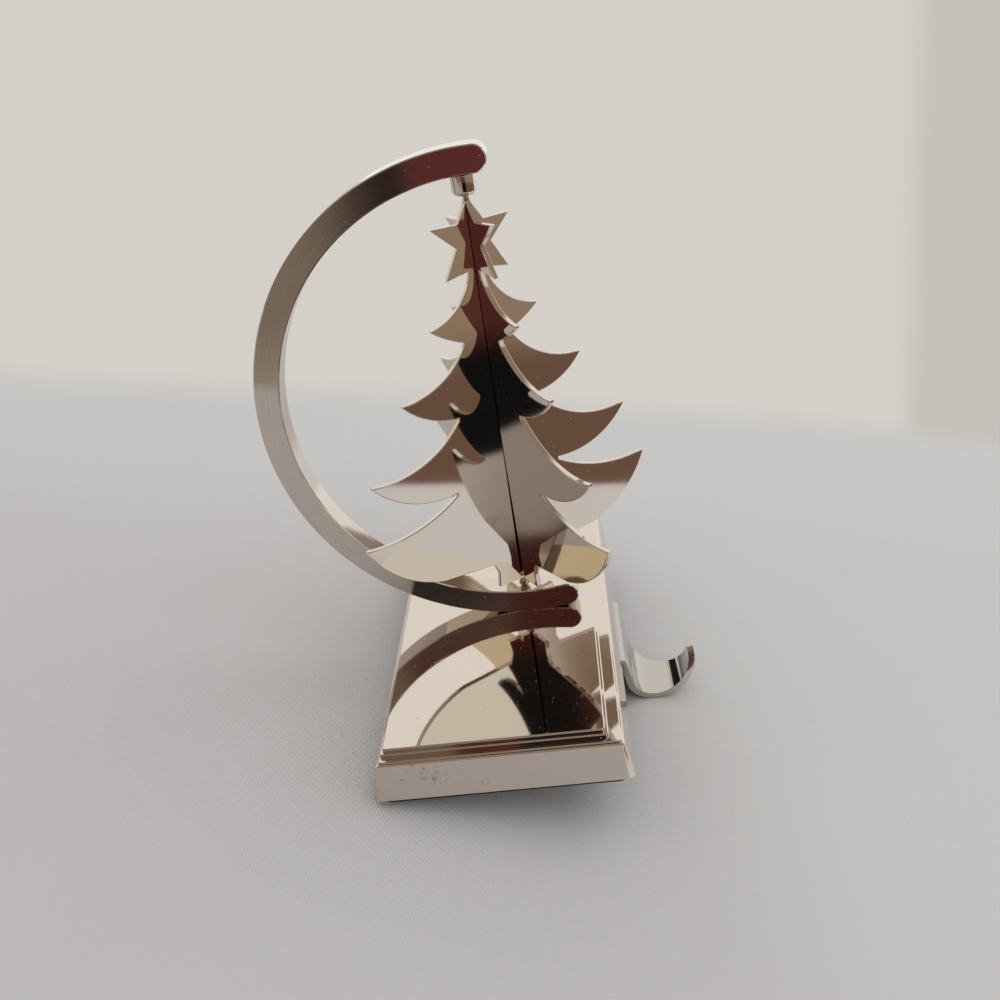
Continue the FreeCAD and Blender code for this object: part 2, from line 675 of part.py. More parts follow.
def hook_curve(points):
    if len(points) == 2:
        return Part.LineSegment(points[0], points[1]).toShape()
    spline = Part.BSplineCurve()
    spline.interpolate(points)
    return spline.toShape()


def hook_stretch_solid(stretch):
    """One stretch of the strip: four ruled faces between its long edges, and a flat face at each end."""
    thick = size("hook_thick")
    corners = ((-1, 0.0), (1, 0.0), (1, thick), (-1, thick))
    rails = [[place + Vector(0, side * half, 0) - up * depth for place, up, half in stretch]
             for side, depth in corners]
    curves = [hook_curve(points) for points in rails]
    faces = [Part.makeRuledSurface(curves[index], curves[(index + 1) % 4]) for index in range(4)]
    for index in (0, -1):
        ends = [rail[index] for rail in rails]
        faces.append(Part.Face(Part.makePolygon(ends + ends[:1])))
    shell = Part.Shell(faces)
    shell.sewShape()
    solid = Part.Solid(shell)
    if solid.Volume < 0:
        solid.reverse()
    return solid


def hook_solid():
    thick = size("hook_thick")
    stretches = hook_stretches()
    solids = [hook_stretch_solid(stretch) for stretch in stretches]
    # The plate's two inner corners are rounded, and the tip is round across its width.
    inner = [edge for edge in solids[0].Edges if abs(edge.BoundBox.XMax - size("hook_end_x")) < 1e-6
             and edge.BoundBox.ZLength > 0.9 * thick]
    solids[0] = solids[0].makeFillet(size("hook_corner"), inner)
    tip_place, tip_up, tip_half = stretches[-1][-1]
    tip_middle = tip_place - tip_up * (thick / 2)
    tip = [edge for edge in solids[-1].Edges if abs(edge.Length - thick) < 1e-4
           and edge.CenterOfMass.distanceToPoint(tip_middle) < 1.01 * tip_half]
    solids[-1] = solids[-1].makeFillet(0.97 * tip_half, tip)
    return solids[0].multiFuse(solids[1:]).Solids[0]


strip = doc.addObject("Part::Feature", "hook_strip")
strip.Shape = hook_solid()

# Two countersunk screws hold the plate; their heads lie flush with its underside.
tools = []
fasteners = []
for index, (x, y) in enumerate(HOOK_SCREWS):
    for kind, extra in (("sink", "2 * Sizes.screw_clear"), ("screw", "0")):
        cone = doc.addObject("Part::Cone", "hook_%s_head_%d" % (kind, index))
        bind(cone, "Radius1", "(Sizes.hook_screw_head + %s) / 2" % extra)
        bind(cone, "Radius2", "(Sizes.hook_screw_dia + %s) / 2" % extra)
        bind(cone, "Height", "Sizes.hook_thick")
        bind(cone, "Placement.Base.x", x)
        bind(cone, "Placement.Base.y", y)
        bind(cone, "Placement.Base.z", "Sizes.metal_z - Sizes.hook_thick")
        (tools if kind == "sink" else fasteners).append(cone)
    fasteners.append(cylinder("hook_screw_shank_%d" % index, "Sizes.hook_screw_dia", "Sizes.hook_screw_bite",
                              x, y, "Sizes.metal_z"))
hook_screws = fuse("hook_screws", fasteners)
sinks = fuse("hook_sinks", tools)
hook = doc.addObject("Part::Cut", "stocking_hook")
hook.Base = strip
hook.Tool = sinks
hook.Label = "stocking_hook"

doc.recompute()
PIECES = [base, cushion, hoop, hoop_screws, collar, top_pin, bead, bottom_pin, plate_a, plate_b, hook,
          hook_screws]
for item in doc.Objects:
    if "Invalid" in item.State or "Error" in item.State:
        raise RuntimeError(item.Label + " failed: " + str(item.State))
os.makedirs("parts", exist_ok=True)
for piece in PIECES:
    shape = piece.Shape
    if shape.isNull() or not shape.isValid() or shape.Volume <= 0:
        raise RuntimeError(piece.Label + " has no valid solid")
for piece in PIECES:
    piece.Shape.exportStep("parts/" + piece.Label + ".step")
    box = piece.Shape.BoundBox
    print("%-14s solids %d volume %9.1f  x %7.2f %7.2f  y %7.2f %7.2f  z %7.2f %7.2f" % (
        piece.Label, len(piece.Shape.Solids), piece.Shape.Volume, box.XMin, box.XMax, box.YMin, box.YMax,
        box.ZMin, box.ZMax))
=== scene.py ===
# %% [markdown]
# # A plated mantel stocking holder
# The real object is a heavy cast base for a mantel shelf, with a broad J hook under it for the
# stocking, and a C hoop on top in which a tree of two crossed plates turns on pins. Nearly all of it
# is mirror plated, so its looks come from three things: exact surfaces, a warm plating with small
# marks of use, and a room for the plating to mirror. The solids come from the CAD frame, and this
# lesson gives them their edges, finishes, floor, room and camera.

# %% Load the CAD frame
import json
import math

import bpy
from mathutils import Matrix, Vector


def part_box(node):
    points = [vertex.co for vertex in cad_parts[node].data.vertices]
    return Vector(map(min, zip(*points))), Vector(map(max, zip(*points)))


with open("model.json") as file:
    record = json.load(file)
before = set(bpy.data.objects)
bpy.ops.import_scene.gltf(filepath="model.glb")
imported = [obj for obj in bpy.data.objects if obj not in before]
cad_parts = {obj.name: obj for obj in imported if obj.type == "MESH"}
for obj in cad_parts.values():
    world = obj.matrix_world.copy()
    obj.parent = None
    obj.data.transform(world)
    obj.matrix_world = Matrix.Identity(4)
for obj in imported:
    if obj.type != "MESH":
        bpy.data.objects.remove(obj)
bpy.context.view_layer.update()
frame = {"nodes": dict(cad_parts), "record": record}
nodes = frame["nodes"]
scene = bpy.context.scene
scene.view_settings.view_transform = "Standard"
MM = 0.001
print("solids:", ", ".join(sorted(nodes)))

# %% [markdown]
# ## Helpers for node trees
# Every finish here is a small tree of shader nodes. Adding a node, setting its sockets and linking
# it is the same three lines each time, so one helper does it: an input is either a plain value or
# the output of another node. The others name the few sums that the finishes share.

# %% Node helpers
def add_node(tree, kind, settings=None, inputs=None):
    """Add a node; each input is a value for the socket or another node's output to link to it."""
    made = tree.nodes.new(kind)
    for name, value in (settings or {}).items():
        setattr(made, name, value)
    for name, value in (inputs or {}).items():
        socket = made.inputs[name]
        if isinstance(value, bpy.types.NodeSocket):
            tree.links.new(value, socket)
        else:
            socket.default_value = value
    return made


def calculate(tree, operation, *values):
    """One Math node: values are numbers or outputs of other nodes."""
    inputs = dict(enumerate(values))
    return add_node(tree, "ShaderNodeMath", {"operation": operation}, inputs).outputs[0]


def distance(tree, across, up):
    """How far a point lies from an origin, from its two places across and up."""
    squares = calculate(tree, "MULTIPLY_ADD", across, across, calculate(tree, "MULTIPLY", up, up))
    return calculate(tree, "SQRT", squares)


def smooth_step(tree, value, start, end):
    """0 up to start, 1 from end on, and a smooth rise between them."""
    ramp = add_node(tree, "ShaderNodeMapRange", {"interpolation_type": "SMOOTHSTEP"},
                    {"Value": value, "From Min": start, "From Max": end})
    return ramp.outputs["Result"]


def between(tree, value, low, high, soft):
    """1 from low to high, with a smooth edge as wide as soft at both ends."""
    rise = smooth_step(tree, value, low - soft / 2, low + soft / 2)
    fall = smooth_step(tree, value, high + soft / 2, high - soft / 2)
    return calculate(tree, "MULTIPLY", rise, fall)


def scale_to(tree, value, low, high):
    """A value from 0 to 1 turned into one from low to high."""
    return calculate(tree, "MULTIPLY_ADD", value, high - low, low)


def mix_colours(tree, share, first, second):
    mix = add_node(tree, "ShaderNodeMix", {"data_type": "RGBA"}, {0: share, 6: first, 7: second})
    return mix.outputs[2]


def noise(tree, coordinates, scale, detail=2.0, roughness=0.5):
    made = add_node(tree, "ShaderNodeTexNoise", None,
                    {"Vector": coordinates, "Scale": scale, "Detail": detail, "Roughness": roughness})
    return made.outputs[0]


def axes_of(tree, vector):
    """The x, y and z of a vector."""
    return add_node(tree, "ShaderNodeSeparateXYZ", None, {0: vector}).outputs


def colour(red, green, blue):
    """A colour as an image editor shows it, 0 to 255, in the linear light that Blender works in."""
    parts = [part / 255 for part in (red, green, blue)]
    linear = [part / 12.92 if part <= 0.04045 else ((part + 0.055) / 1.055) ** 2.4 for part in parts]
    return (*linear, 1.0)


# %% [markdown]
# ## Camera
# The photograph looks down at the holder from the end of its base, from about 30 cm away, and the
# holder leans a little because it stands on its pad's edge and its hook. The camera carries that
# lean as roll, so that the object itself stays square in its own frame. Heading, pitch and roll are
# applied one after the other, which reads better than a ready-made matrix.

# %% Place the camera
CAMERA_PLACE = Vector((29.2, -261.9, 177.9)) * MM
CAMERA_HEADING = 5.50
CAMERA_PITCH = -26.25
CAMERA_ROLL = -9.04
CAMERA_LENS = 38.32

camera_data = bpy.data.cameras.new("camera")
camera_data.lens = CAMERA_LENS
camera_data.clip_start = 10 * MM
camera = bpy.data.objects.new("camera", camera_data)
scene.collection.objects.link(camera)
scene.camera = camera
heading = Matrix.Rotation(math.radians(CAMERA_HEADING), 4, "Z")
pitch = Matrix.Rotation(math.radians(90 + CAMERA_PITCH), 4, "X")
roll = Matrix.Rotation(math.radians(CAMERA_ROLL), 4, "Z")
camera.matrix_world = Matrix.Translation(CAMERA_PLACE) @ heading @ pitch @ roll
print("camera axes:", [[round(part, 4) for part in row[:3]] for row in camera.matrix_world])

# %% [markdown]
# ## Soft edges
# Stamped, cast and plated edges are never knife sharp: tumbling and plating round them by a tenth of
# a millimetre or two, and each rounded edge then catches a thin bright or dark line of the room. A
# bevel modifier makes that rounding without touching the CAD mesh, but it needs a joined mesh first.
# The mesh arrives as loose triangles with fixed normals, so a small node group welds it and drops
# those normals.

# %% Weld the mesh
WELD_DISTANCE = 0.001 * MM


def start_group(name):
    """An empty geometry node group, and the geometry that comes into it."""
    group = bpy.data.node_groups.new(name, "GeometryNodeTree")
    for way in ("INPUT", "OUTPUT"):
        group.interface.new_socket(name="Geometry", in_out=way, socket_type="NodeSocketGeometry")
    return group, add_node(group, "NodeGroupInput").outputs[0]


def weld_mesh():
    """Join the loose triangles, and drop the normals that came with them."""
    group, source = start_group("weld_mesh")
    bare = add_node(group, "GeometryNodeRemoveAttribute", None,
                    {"Geometry": source, "Name": "custom_normal"})
    welded = add_node(group, "GeometryNodeMergeByDistance", None,
                      {"Geometry": bare.outputs[0], "Distance": WELD_DISTANCE})
    add_node(group, "NodeGroupOutput", None, {"Geometry": welded.outputs[0]})
    return group


WELD = weld_mesh()
print("points closer than %.3f mm are joined" % (WELD_DISTANCE / MM))

# %% [markdown]
# ### The edges that are rounded
# Blender's bevel can follow a weight stored on each edge, so a second node group writes one: 1 where
# two faces meet at a sharp angle, and 0 elsewhere. It shades the mesh smooth up to those edges as
# well. The tree's plates get the weight only round their two large faces. Their slots stay sharp,
# because the other plate fills them, and so do the short corners at the tips of the branches, where
# two roundings would run into each other.

# %% Mark the edges
SHARP_ANGLE = math.radians(32)
TREE_AXIS = frame["record"]["behaviour"]["joints"][0]["pos_m"]
SLOT_REACH = 2.4 * MM
PLATE_FACE_AREA = 1e-4


def plate_rim(group):
    """1 for the edges round a plate's large faces, away from its slot."""
    x, y, _ = axes_of(group, add_node(group, "GeometryNodeInputPosition").outputs[0])
    out = calculate(group, "SUBTRACT", x, TREE_AXIS[0])
    off = calculate(group, "SUBTRACT", y, TREE_AXIS[1])
    clear = calculate(group, "GREATER_THAN", distance(group, out, off), SLOT_REACH)
    area = add_node(group, "GeometryNodeInputMeshFaceArea").outputs[0]
    beside_face = calculate(group, "GREATER_THAN", area, PLATE_FACE_AREA)
    return calculate(group, "MULTIPLY", clear, beside_face)


def mark_edges(name, rim_only):
    """Shade smooth between sharp edges, and give the edges to be rounded a bevel weight of 1."""
    group, source = start_group(name)
    smooth = add_node(group, "GeometryNodeSetShadeSmooth", {"domain": "FACE"},
                      {"Geometry": source, "Shade Smooth": True})
    turn = add_node(group, "GeometryNodeInputMeshEdgeAngle").outputs["Unsigned Angle"]
    sharp = calculate(group, "GREATER_THAN", turn, SHARP_ANGLE)
    creased = add_node(group, "GeometryNodeSetShadeSmooth", {"domain": "EDGE"},
                       {"Geometry": smooth.outputs[0], "Selection": sharp, "Shade Smooth": False})
    rounded = calculate(group, "MULTIPLY", sharp, plate_rim(group)) if rim_only else sharp
    marked = add_node(group, "GeometryNodeStoreNamedAttribute", {"data_type": "FLOAT", "domain": "EDGE"},
                      {"Geometry": creased.outputs[0], "Name": "bevel_weight_edge", "Value": rounded})
    add_node(group, "NodeGroupOutput", None, {"Geometry": marked.outputs[0]})
    return group


ALL_EDGES = mark_edges("all_edges", rim_only=False)
RIM_EDGES = mark_edges("rim_edges", rim_only=True)
print("edges sharper than %.0f degrees are rounded" % math.degrees(SHARP_ANGLE))

# %% [markdown]
# ### Rounding
# Four modifiers do the work in turn: weld, join the triangles of each flat face with a planar
# decimate, which gives the bevel clean faces, mark the edges, and bevel them in three steps. The
# widths, in millimetres, are judged from the bright lines along the edges in the photograph. Clamp
# Overlap protects the cast and bent pieces from a bevel that is wider than a short edge beside it,
# at the price that it narrows the bevel all over the piece. The plates don't need it, because only
# their long rims are marked.

# %% Round the edges
FLAT_ANGLE = math.radians(0.4)
ROUNDING_STEPS = 3
EDGE_ROUNDING = {"stocking_hook": 0.35, "hoop": 0.12, "base_casting": 0.20, "top_collar": 0.60,
                 "bottom_bead": 0.30, "base_pad": 0.30}
PLATE_ROUNDING = 0.27
PLATES = ("tree_plate_a", "tree_plate_b")


def round_edges(node, width, marks, held_back):
    """held_back lets Blender narrow the rounding all over where the mesh has very short edges."""
    piece = nodes[node]
    piece.modifiers.new("welded", "NODES").node_group = WELD
    joined = piece.modifiers.new("flat faces", "DECIMATE")
    joined.decimate_type = "DISSOLVE"
    joined.angle_limit = FLAT_ANGLE
    piece.modifiers.new("marked edges", "NODES").node_group = marks
    edge = piece.modifiers.new("rounded edges", "BEVEL")
    edge.width = width * MM
    edge.segments = ROUNDING_STEPS
    edge.limit_method = "WEIGHT"
    edge.harden_normals = True
    edge.use_clamp_overlap = held_back


for node, width in EDGE_ROUNDING.items():
    round_edges(node, width, ALL_EDGES, held_back=True)
for node in PLATES:
    round_edges(node, PLATE_ROUNDING, RIM_EDGES, held_back=False)
print("edges rounded on", len(EDGE_ROUNDING) + len(PLATES), "pieces")

# %% [markdown]
# ## Starting a finish
# All finishes begin alike, with one Principled shader that reads coordinates in metres, and most of
# them end with a bump. Both are worth a helper, and so is handing a finish to its pieces.

# %% Start a finish
def new_material(name):
    """An empty material with a Principled shader; object coordinates are in metres."""
    material = bpy.data.materials.new(name)
    material.use_nodes = True
    tree = material.node_tree
    tree.nodes.clear()
    shader = add_node(tree, "ShaderNodeBsdfPrincipled")
    output = add_node(tree, "ShaderNodeOutputMaterial")
    tree.links.new(shader.outputs[0], output.inputs["Surface"])
    coordinates = add_node(tree, "ShaderNodeTexCoord").outputs["Object"]
    return material, tree, shader, coordinates


def raise_surface(tree, shader, height, depth, strength=1.0):
    """Bump the shader's surface; a height of 1 stands for one depth."""
    bump = add_node(tree, "ShaderNodeBump", None,
                    {"Strength": strength, "Distance": depth, "Height": height})
    tree.links.new(bump.outputs[0], shader.inputs["Normal"])


def finish(material, *names):
    for name in names:
        nodes[name].data.materials.clear()
        nodes[name].data.materials.append(material)
    print(material.name, "on", ", ".join(names))


# %% [markdown]
# ## Dust
# On a mirror, dust is what shows where the surface is. It settles in single round specks, not in a
# haze: a Voronoi pattern gives one point a cell, a random number of the cell decides whether it
# holds a speck, and a second one sets its size.

# %% Scatter the dust
SPECK_CELL = 1.5 * MM
SPECK_RADIUS = 0.11 * MM
LEAST_SPECK = 0.4


def dust_specks(tree, coordinates, share):
    """1 inside a speck; share is the part of the cells that hold one."""
    cells = add_node(tree, "ShaderNodeTexVoronoi", None, {"Vector": coordinates, "Scale": 1 / SPECK_CELL})
    chance = axes_of(tree, cells.outputs["Color"])
    held = calculate(tree, "LESS_THAN", chance[0], share)
    largest = SPECK_RADIUS / SPECK_CELL
    radius = scale_to(tree, chance[1], LEAST_SPECK * largest, largest)
    inside = calculate(tree, "LESS_THAN", cells.outputs["Distance"], radius)
    return calculate(tree, "MULTIPLY", held, inside)


print("dust specks are up to %.2f mm across" % (2 * SPECK_RADIUS / MM))

# %% [markdown]
# ## Plating
# Nickel-bright plating is a mirror with a warm tint: a metal with almost no roughness. What makes it
# look real is what a perfect mirror lacks. Castings are never quite flat, so a long, faint wave
# bends the reflections; polishing leaves soft clouds; and dust lies on it. One function makes that
# common part, and a piece with marks of its own hands it a mask of them.

# %% Common plating
PLATE_TINT = (0.68, 0.60, 0.53, 1.0)
HOOK_TINT = (0.50, 0.465, 0.43, 1.0)
GRIME = colour(92, 80, 68)
DUST = colour(226, 220, 210)
CLOUD_SCALE = 90.0
SPECK_DULLNESS = 0.6
# Painted shade on the polishing lines, for the dark streaks they smear into the reflection.
LINE_PAINTED_SHADE = 0.90
LINE_DULLNESS = 0.03
LINE_HEIGHT = 0.0025
SPOT_DULLNESS = 0.35
SPOT_DEPTH = 0.05


def plating(name, tint=PLATE_TINT, wave=0.10, wave_scale=28.0, dull=0.03, dust=0.25, streaks=None,
            marks=None):
    """Warm mirror plating; wave is the height in millimetres of the long wave in its surface.

    streaks and marks are functions of the tree and the coordinates: fine polishing lines from 0 to
    1, which are also painted darker for the streaks they smear into the reflection, and a mask of
    dulled, darkened spots.
    """
    material, tree, shader, coordinates = new_material(name)
    specks = dust_specks(tree, coordinates, dust)
    roughness = scale_to(tree, noise(tree, coordinates, CLOUD_SCALE, 3.0), dull, 2.0 * dull)
    roughness = calculate(tree, "MULTIPLY_ADD", specks, SPECK_DULLNESS, roughness)
    shade = tint
    height = calculate(tree, "MULTIPLY", noise(tree, coordinates, wave_scale, 1.0), wave)
    if streaks:
        lines = streaks(tree, coordinates)
        # Painted shade: the lines are darkened for the streaks they smear into the reflection.
        shade = mix_colours(tree, lines, shade, [LINE_PAINTED_SHADE * part for part in tint[:3]] + [1.0])
        roughness = calculate(tree, "MULTIPLY_ADD", lines, LINE_DULLNESS, roughness)
        height = calculate(tree, "MULTIPLY_ADD", lines, LINE_HEIGHT, height)
    if marks:
        spots = marks(tree, coordinates)
        shade = mix_colours(tree, spots, shade, GRIME)
        roughness = calculate(tree, "MULTIPLY_ADD", spots, SPOT_DULLNESS, roughness)
        height = calculate(tree, "MULTIPLY_ADD", spots, -SPOT_DEPTH, height)
    tree.links.new(mix_colours(tree, specks, shade, DUST), shader.inputs["Base Color"])
    tree.links.new(calculate(tree, "SUBTRACT", 1.0, specks), shader.inputs["Metallic"])
    tree.links.new(roughness, shader.inputs["Roughness"])
    raise_surface(tree, shader, height, MM)
    return material


# %% [markdown]
# ### Fittings, tree and hook
# These pieces differ only in how true they are. The collar and the bead are turned on a lathe and
# have no wave at all, the stamped plates have a faint one, and the bent strip of the hook has more,
# with a duller surface and a darker, cooler tint.

# %% Plate the fittings, the tree and the hook
finish(plating("fitting_plating", wave=0.0), "top_collar", "bottom_bead")
finish(plating("tree_plating", wave=0.05, dust=0.6), *PLATES)
finish(plating("hook_plating", tint=HOOK_TINT, wave=0.08, dull=0.05), "stocking_hook")

# %% [markdown]
# ### Casting
# The base is a die casting: where the metal froze badly, at a lower corner of the end wall, the
# plating shows a patch of small pits, and beside it a faint ring where something stood. The pits lie
# where a fine noise is high, inside a soft-edged patch, and the ring is a band of distance from a
# point. A few stray pits, from the highest peaks of the same noise, lie all over the casting.

# %% Plate the base
PIT_PATCH = (-19.5, 8.0)
PIT_REACH = (9.0, 4.4)
PATCH_EDGE = (1.0, 0.35)
PIT_GRAIN = 800.0
PATCH_PITS = (0.56, 0.66)
STRAY_PITS = (0.70, 0.76)
PIT_STRENGTH = 0.45
STRAY_STRENGTH = 0.5
RING_PLACE = (-4.0, 4.8)
RING_RADIUS = 0.8
RING_WIDTH = 0.24
RING_SOFTNESS = 0.2
RING_STRENGTH = 0.22
END_WALL_Y = -60.0


def pitted_patch(tree, x, z, grain):
    across = calculate(tree, "DIVIDE", calculate(tree, "SUBTRACT", x, PIT_PATCH[0] * MM),
                       PIT_REACH[0] * MM)
    up = calculate(tree, "DIVIDE", calculate(tree, "SUBTRACT", z, PIT_PATCH[1] * MM),
                   PIT_REACH[1] * MM)
    patch = smooth_step(tree, distance(tree, across, up), *PATCH_EDGE)
    return calculate(tree, "MULTIPLY", smooth_step(tree, grain, *PATCH_PITS), patch)


def faint_ring(tree, x, z):
    across = calculate(tree, "SUBTRACT", x, RING_PLACE[0] * MM)
    up = calculate(tree, "SUBTRACT", z, RING_PLACE[1] * MM)
    inner = (RING_RADIUS - RING_WIDTH / 2) * MM
    outer = (RING_RADIUS + RING_WIDTH / 2) * MM
    return between(tree, distance(tree, across, up), inner, outer, RING_SOFTNESS * MM)


def casting_marks(tree, coordinates):
    x, y, z = axes_of(tree, coordinates)
    grain = noise(tree, coordinates, PIT_GRAIN, 4.0, 0.65)
    pits = calculate(tree, "MULTIPLY", pitted_patch(tree, x, z, grain), PIT_STRENGTH)
    ring = calculate(tree, "MULTIPLY", faint_ring(tree, x, z), RING_STRENGTH)
    marks = calculate(tree, "MAXIMUM", pits, ring)
    on_wall = calculate(tree, "LESS_THAN", y, END_WALL_Y * MM)
    stray = calculate(tree, "MULTIPLY", smooth_step(tree, grain, *STRAY_PITS), STRAY_STRENGTH)
    return calculate(tree, "MAXIMUM", calculate(tree, "MULTIPLY", marks, on_wall), stray)


finish(plating("casting_plating", wave=0.12, dust=0.8, marks=casting_marks), "base_casting")

# %% [markdown]
# ### Hoop
# The hoop's broad faces were ground along the bar before plating, which leaves fine lines that follow
# the curve: real ridges, given as roughness and bump, with a painted shade on them for the dark
# streaks they smear into the reflection. In polar coordinates about the hoop's centre such lines are
# easy: a noise that changes fast with the radius and slowly with the angle.

# %% Plate the hoop
HOOP_CENTRE = Vector((8.8, 0.0, 78.2)) * MM
LINE_PITCH = 0.35 * MM
LINES_PER_RADIAN = 5.0
LINE_CONTRAST = (0.35, 0.75)


def hoop_lines(tree, coordinates):
    x, y, z = axes_of(tree, coordinates)
    out = calculate(tree, "SUBTRACT", x, HOOP_CENTRE.x)
    up = calculate(tree, "SUBTRACT", z, HOOP_CENTRE.z)
    radius = distance(tree, out, up)
    angle = calculate(tree, "ARCTAN2", up, out)
    along = add_node(tree, "ShaderNodeCombineXYZ", None,
                     {0: calculate(tree, "DIVIDE", radius, LINE_PITCH),
                      1: calculate(tree, "MULTIPLY", angle, LINES_PER_RADIAN),
                      2: calculate(tree, "DIVIDE", y, LINE_PITCH)}).outputs[0]
    return smooth_step(tree, noise(tree, along, 1.0, 3.0), *LINE_CONTRAST)


finish(plating("hoop_plating", wave=0.05, dull=0.035, streaks=hoop_lines), "hoop")

# %% [markdown]
# ## Steel and rubber
# The pins and screws are bought in, zinc plated and grey, and hardly show. The pad is black foam
# rubber with a matt, open grain. Both are a colour that varies with a fine noise, and the pad's
# grain is a bump as well.

# %% Finish the pins, screws and pad
STEEL_GRAIN = 900.0
STEEL_ROUGHNESS = 0.32
RUBBER_GRAIN = 1400.0
RUBBER_ROUGHNESS = 0.85
RUBBER_DEPTH = 0.15 * MM


def zinc_steel():
    material, tree, shader, coordinates = new_material("zinc_steel")
    shader.inputs["Metallic"].default_value = 1.0
    shader.inputs["Roughness"].default_value = STEEL_ROUGHNESS
    grain = noise(tree, coordinates, STEEL_GRAIN, 4.0)
    tree.links.new(mix_colours(tree, grain, colour(150, 150, 152), colour(190, 190, 188)),
                   shader.inputs["Base Color"])
    return material


def black_rubber():
    material, tree, shader, coordinates = new_material("black_rubber")
    shader.inputs["Roughness"].default_value = RUBBER_ROUGHNESS
    grain = noise(tree, coordinates, RUBBER_GRAIN, 3.0)
    tree.links.new(mix_colours(tree, grain, colour(22, 21, 21), colour(40, 38, 37)),
                   shader.inputs["Base Color"])
    raise_surface(tree, shader, grain, RUBBER_DEPTH, strength=0.6)
    return material


finish(zinc_steel(), "top_pin", "bottom_pin", "hoop_screws", "hook_screws")
finish(black_rubber(), "base_pad")

# %% [markdown]
# ## Floor
# The holder stands on pale cloth. It rests on the long edge of its pad and on the outside of its
# hook, so in the object's own frame the cloth slopes. The plane's slope follows from the two: it
# passes through the pad's edge and touches the hook's outer arc. The cloth is a grid of faces with
# low folds from a few crossing waves, which die out under the holder.

# %% Lay the cloth
PAD_EDGE_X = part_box("base_pad")[0].x
HOOK_ARC_CENTRE = Vector((43.24, 0.0, -7.81)) * MM
HOOK_ARC_RADIUS = 10.33 * MM
hook_away = HOOK_ARC_CENTRE.x - PAD_EDGE_X
reach = math.hypot(hook_away, HOOK_ARC_CENTRE.z)
slope = math.atan2(HOOK_ARC_CENTRE.z, hook_away) - math.asin(HOOK_ARC_RADIUS / reach)
print("the cloth slopes by %.2f degrees" % math.degrees(slope))

CLOTH_HALF = 1.6
CLOTH_STEPS = 300
FLAT_REACH = 0.10
FOLDS_GROW_OVER = 0.25
FOLD_HEIGHT = 1.6 * MM
FOLD_WAVES = [
    # share, turns of x and y in radians a metre, phase
    (1.0, 9.0, 4.0, 0.6),
    (0.6, -6.0, 15.0, 0.0),
    (0.4, 23.0, 11.0, 0.0),
]


def cloth_height(x, y):
    """Soft folds, flat under the holder."""
    loose = min(1.0, max(0.0, (math.hypot(x, y) - FLAT_REACH) / FOLDS_GROW_OVER))
    folds = sum(share * math.sin(across * x + along * y + phase)
                for share, across, along, phase in FOLD_WAVES)
    return loose * FOLD_HEIGHT * folds


def lay_cloth():
    lines = range(CLOTH_STEPS + 1)
    places = [CLOTH_HALF * (2 * line / CLOTH_STEPS - 1) for line in lines]
    points = [(x, y, cloth_height(x, y)) for y in places for x in places]
    faces = []
    for row in range(CLOTH_STEPS):
        for column in range(CLOTH_STEPS):
            corner = row * (CLOTH_STEPS + 1) + column
            above = corner + CLOTH_STEPS + 1
            faces.append((corner, corner + 1, above + 1, above))
    mesh = bpy.data.meshes.new("cloth")
    mesh.from_pydata(points, [], faces)
    mesh.shade_smooth()
    laid = bpy.data.objects.new("cloth", mesh)
    scene.collection.objects.link(laid)
    tilt = Matrix.Rotation(-slope, 4, "Y")
    laid.matrix_world = Matrix.Translation((PAD_EDGE_X, 0, 0)) @ tilt
    return laid


cloth = lay_cloth()
print("cloth laid, %.1f m wide" % (2 * CLOTH_HALF))

# %% [markdown]
# ### Weave
# The cloth is a matt satin weave of fine slanting threads. Beside the near end of the base they are
# plain to see, further off they are blurred, and in the distance they are lost. One sine wave across
# the slant makes them, and its strength falls with the distance from that end.

# %% Weave the threads
THREAD_PITCH = 0.75 * MM
THREAD_DIRECTION = (0.88, 0.47)
BASE_END_Y = -0.07
PLAIN_THREADS = (0.08, 0.03)
BLURRED_THREADS = 0.4
THREADS_LOST = (0.10, -0.05)


def cloth_threads(tree, x, y):
    """Slanting threads, plainest beside the near end of the base and lost in the distance."""
    slant = calculate(tree, "MULTIPLY_ADD", x, THREAD_DIRECTION[0],
                      calculate(tree, "MULTIPLY", y, THREAD_DIRECTION[1]))
    wave = calculate(tree, "SINE", calculate(tree, "MULTIPLY", slant, 2 * math.pi / THREAD_PITCH))
    away = distance(tree, x, calculate(tree, "SUBTRACT", y, BASE_END_Y))
    strength = scale_to(tree, smooth_step(tree, away, *PLAIN_THREADS), BLURRED_THREADS, 1.0)
    strength = calculate(tree, "MULTIPLY", strength, smooth_step(tree, y, *THREADS_LOST))
    return calculate(tree, "MULTIPLY", wave, strength)


print("threads lie %.2f mm apart" % (THREAD_PITCH / MM))

# %% [markdown]
# ### Where the cloth ends
# Behind the real holder the cloth rises. Here it stays flat, and to the camera it fades into the
# backdrop's colour beyond a soft line, and far out on all sides. To the plating it ends a short way
# in front of the holder and to the right of it, as the real one does, so the chrome mirrors the
# darker room beyond.

# %% End the cloth
RISE_LEFT = (-0.20, 0.185)
RISE_RIGHT = (0.12, 0.230)
RISE_SOFTNESS = 0.05
FADE = (0.65, 1.0)
FRONT_EDGE_Y = -0.183
LEFT_FRONT_EDGE_Y = -0.21
FRONT_EDGE_STEP_X = (-0.075, -0.045)
FRONT_EDGE_SOFTNESS = 0.012
RIGHT_EDGE_X = 0.278
RIGHT_EDGE_SLANT = 0.625
RIGHT_EDGE_SOFTNESS = 0.016


